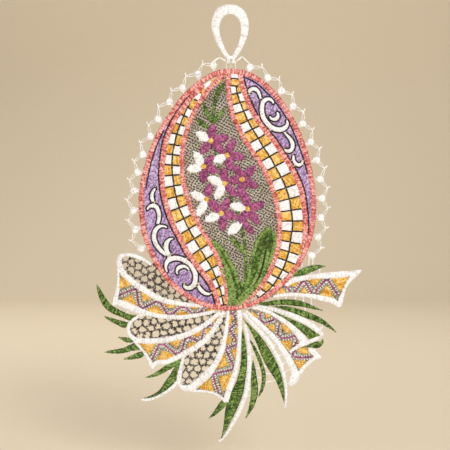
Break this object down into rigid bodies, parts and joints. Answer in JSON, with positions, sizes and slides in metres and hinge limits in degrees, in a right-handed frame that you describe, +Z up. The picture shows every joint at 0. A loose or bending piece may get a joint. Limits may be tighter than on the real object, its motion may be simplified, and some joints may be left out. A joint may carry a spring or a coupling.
{
  "type": "embroidered egg ornament",
  "caption": "Flat free-standing embroidered ornament: an egg with checkered bands and flowers over ribbons, lace and leaf blades, hung from a thread loop that folds at its foot.",
  "frame": {"origin": "inside top of the hanging loop's eye, in the middle of the thickness, where the hook or nail bears", "axes": "+X to the right as seen from the front, +Z up along the hanging direction, -Y out of the front face"},
  "size_m": [0.0912, 0.0014, 0.151],
  "materials": {
    "white_thread": "satin",
    "coral_thread": "satin",
    "lilac_thread": "satin",
    "black_thread": "satin",
    "yellow_thread": "satin",
    "magenta_thread": "satin",
    "green_thread": "satin",
    "net_thread": "matt",
    "ribbon_net_thread": "matt"
  },
  "bodies": {
    "loop": {"hang_loop": "white_thread", "loop_foot": "white_thread"},
    "egg": {"crown_bar": "white_thread", "outer_border": "coral_thread", "stamens": "yellow_thread", "magenta_petals": "magenta_thread", "white_petals": "white_thread", "leaf_veins": "black_thread", "bottom_leaves": "green_thread", "flower_stems": "green_thread", "top_leaves": "green_thread", "net_ground": "net_thread", "blade_edges": "white_thread", "left_blades": "green_thread", "right_blades": "green_thread", "edged_blades": "green_thread", "picot_beads": "white_thread", "picot_threads": "white_thread", "tie_bars": "white_thread", "left_yellow_squares": "yellow_thread", "left_white_squares": "white_thread", "left_band_outer_edge": "coral_thread", "left_band_inner_edge": "coral_thread", "left_band_grid": "black_thread", "left_scrolls": "white_thread", "left_blackwork": "black_thread", "left_lilac_panel": "lilac_thread", "right_yellow_squares": "yellow_thread", "right_white_squares": "white_thread", "right_band_outer_edge": "coral_thread", "right_band_inner_edge": "coral_thread", "right_band_grid": "black_thread", "right_scrolls": "white_thread", "right_blackwork": "black_thread", "right_lilac_panel": "lilac_thread", "upper_left_ribbon_edge": "white_thread", "upper_left_zigzag": "magenta_thread", "upper_left_triangles": "yellow_thread", "upper_left_net": "ribbon_net_thread", "middle_left_ribbon_edge": "white_thread", "middle_left_zigzag": "magenta_thread", "middle_left_triangles": "yellow_thread", "middle_left_net": "ribbon_net_thread", "lower_left_ribbon_edge": "white_thread", "lower_left_zigzag": "magenta_thread", "lower_left_triangles": "yellow_thread", "lower_left_net": "ribbon_net_thread", "lower_right_ribbon_edge": "white_thread", "lower_right_zigzag": "magenta_thread", "lower_right_triangles": "yellow_thread", "lower_right_net": "ribbon_net_thread", "upper_right_ribbon_edge": "white_thread", "upper_right_zigzag": "magenta_thread", "upper_right_triangles": "yellow_thread", "upper_right_net": "ribbon_net_thread", "upper_left_lace": "net_thread", "middle_left_lace": "net_thread", "lower_left_lace": "net_thread"}
  },
  "joints": [
    {"name": "loop_fold", "type": "hinge", "parent": "loop", "child": "egg", "pos_m": [0.00055, 0, -0.0165], "axis": [1, 0, 0], "range_deg": [-150, 150]}
  ]
}
